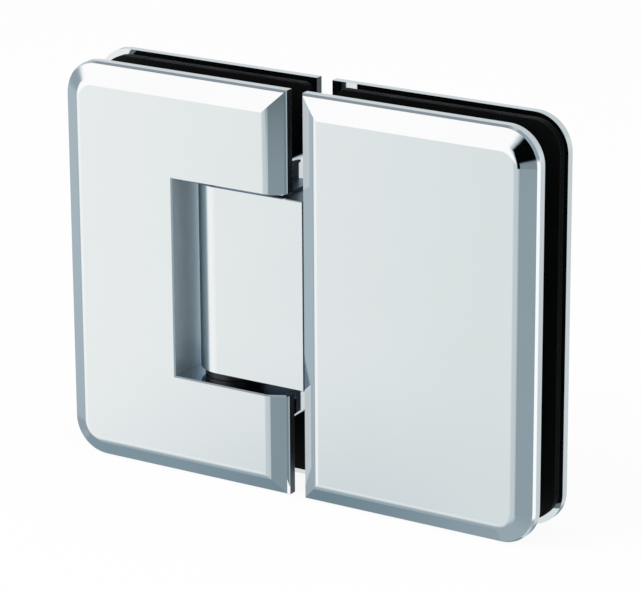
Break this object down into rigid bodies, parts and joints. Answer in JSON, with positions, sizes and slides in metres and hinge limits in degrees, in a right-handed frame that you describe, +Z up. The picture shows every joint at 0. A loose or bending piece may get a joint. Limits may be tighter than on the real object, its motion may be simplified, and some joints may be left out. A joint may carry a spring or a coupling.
{
  "type": "glass door hinge",
  "caption": "Glass-to-glass shower door hinge: two bevelled chrome clamp leaves in line, joined by a round-ended sprung knuckle, with gaskets for 8 mm glass.",
  "frame": {"origin": "the middle of the bottom edge: halfway across the gap between the leaves, on the glass's middle plane, at the bottom of the leaves", "axes": "+X along the hinge from the fork leaf to the panel leaf, -Y out of the front faces, +Z up along the pin"},
  "size_m": [0.1158, 0.0188, 0.09],
  "materials": {
    "chrome_plate": "bright chrome plate on polished brass",
    "gasket_rubber": "black EPDM sheet, satin",
    "stainless_screw": "turned stainless steel",
    "pin_steel": "ground and hardened stainless steel",
    "spring_steel": "hardened spring strip, lightly oiled",
    "bronze_bush": "oil-filled sintered bronze",
    "acetal_washer": "turned black acetal"
  },
  "bodies": {
    "knuckle_leaf": {"knuckle_body": "chrome_plate", "bush_upper": "bronze_bush", "bush_lower": "bronze_bush", "thrust_washer_upper": "acetal_washer", "thrust_washer_lower": "acetal_washer", "detent_bar": "pin_steel", "detent_spring_inner": "spring_steel", "detent_spring_middle": "spring_steel", "detent_spring_outer": "spring_steel", "panel_front_plate": "chrome_plate", "panel_rear_plate": "chrome_plate", "panel_front_gasket": "gasket_rubber", "panel_rear_gasket": "gasket_rubber", "panel_screw_upper": "stainless_screw", "panel_screw_lower": "stainless_screw"},
    "fork_leaf": {"fork_front_plate": "chrome_plate", "fork_rear_plate": "chrome_plate", "fork_front_gasket": "gasket_rubber", "fork_rear_gasket": "gasket_rubber", "fork_screw_upper": "stainless_screw", "fork_screw_lower": "stainless_screw", "hinge_pin": "pin_steel", "pin_lock_screw_upper": "stainless_screw", "pin_lock_screw_lower": "stainless_screw"}
  },
  "joints": [
    {"name": "door_swing", "type": "hinge", "parent": "knuckle_leaf", "child": "fork_leaf", "pos_m": [-0.02, 0, 0.045], "axis": [0, 0, 1], "range_deg": [-90, 90]}
  ]
}
